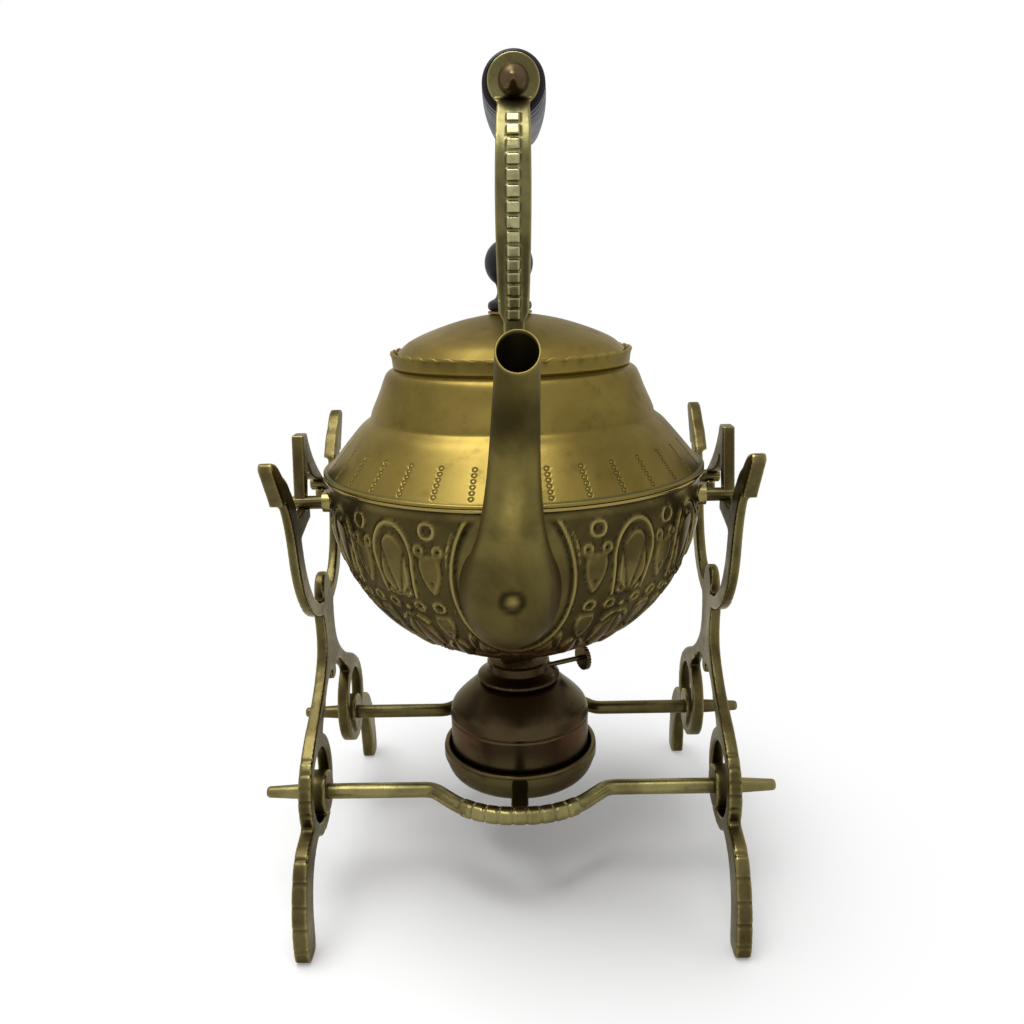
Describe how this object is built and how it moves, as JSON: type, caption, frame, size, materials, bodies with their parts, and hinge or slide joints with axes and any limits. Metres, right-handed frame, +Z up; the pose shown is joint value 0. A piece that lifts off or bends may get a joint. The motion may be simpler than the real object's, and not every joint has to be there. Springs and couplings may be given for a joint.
{
  "type": "spirit kettle on stand",
  "caption": "Brass spirit kettle that tilts on side pins in an openwork stand, with a hinged lid, arched handle, curved spout and a lift-out spirit burner with a wick winder.",
  "frame": {"origin": "on the table, under the middle of the whole object's box", "axes": "+Z up; the spout points along -Y, and pouring tilts it down; the pins and the stand's rods lie along X"},
  "size_m": [0.1896, 0.1752, 0.2929],
  "materials": {
    "aged_brass": "satin",
    "repousse_brass": "satin",
    "cast_brass": "satin",
    "burner_brass": "satin",
    "ebonised_wood": "satin",
    "wick_cotton": "matte"
  },
  "bodies": {
    "stand": {"side_frame_left": "cast_brass", "side_frame_right": "cast_brass", "front_rod": "cast_brass", "rear_rod": "cast_brass", "burner_cup": "burner_brass", "front_cup_arm": "cast_brass", "rear_cup_arm": "cast_brass"},
    "burner": {"burner_font": "burner_brass", "burner_shoulder": "burner_brass", "burner_collar": "burner_brass", "wick_tube": "burner_brass"},
    "winder": {"winder_shaft": "burner_brass", "feed_wheel": "burner_brass", "thumb_wheel": "burner_brass"},
    "wick": {"wick": "wick_cotton"},
    "kettle": {"kettle_bowl": "repousse_brass", "kettle_shoulder": "aged_brass", "gallery_rim": "aged_brass", "spout": "aged_brass", "front_handle_arm": "aged_brass", "rear_handle_arm": "aged_brass", "handle_grip": "ebonised_wood", "handle_rod": "aged_brass", "front_finial": "aged_brass", "rear_finial": "aged_brass", "pivot_bracket_left": "aged_brass", "pivot_bracket_right": "aged_brass", "front_pivot_pins": "aged_brass", "rear_rest_pins": "aged_brass", "lid_hinge_knuckles": "aged_brass", "lid_hinge_pin": "aged_brass"},
    "lid": {"lid_dome": "aged_brass", "lid_bezel": "aged_brass", "lid_hinge_strap": "aged_brass", "lid_knob": "ebonised_wood", "knob_washer": "aged_brass", "knob_screw": "aged_brass"}
  },
  "joints": [
    {"name": "kettle_tilt", "type": "hinge", "parent": "stand", "child": "kettle", "pos_m": [0, -0.00664, 0.1495], "axis": [1, 0, 0], "range_deg": [0, 50]},
    {"name": "lid_hinge", "type": "hinge", "parent": "kettle", "child": "lid", "pos_m": [0, 0.05137, 0.2042], "axis": [-1, 0, 0], "range_deg": [0, 60]},
    {"name": "burner_lift", "type": "slide", "parent": "stand", "child": "burner", "axis": [0, 0, 1], "range_m": [0, 0.0035]},
    {"name": "winder_turn", "type": "hinge", "parent": "burner", "child": "winder", "pos_m": [0.00191, 0.00812, 0.0759], "axis": [0.891, 0.454, 0], "range_deg": [-40, 40]},
    {"name": "wick_rise", "type": "slide", "parent": "burner", "child": "wick", "axis": [0, 0, 1], "range_m": [-0.0018, 0.0018]}
  ],
  "couplings": [
    {"joint": "winder_turn", "follows": "wick_rise", "rad_per_m": 370.37}
  ]
}
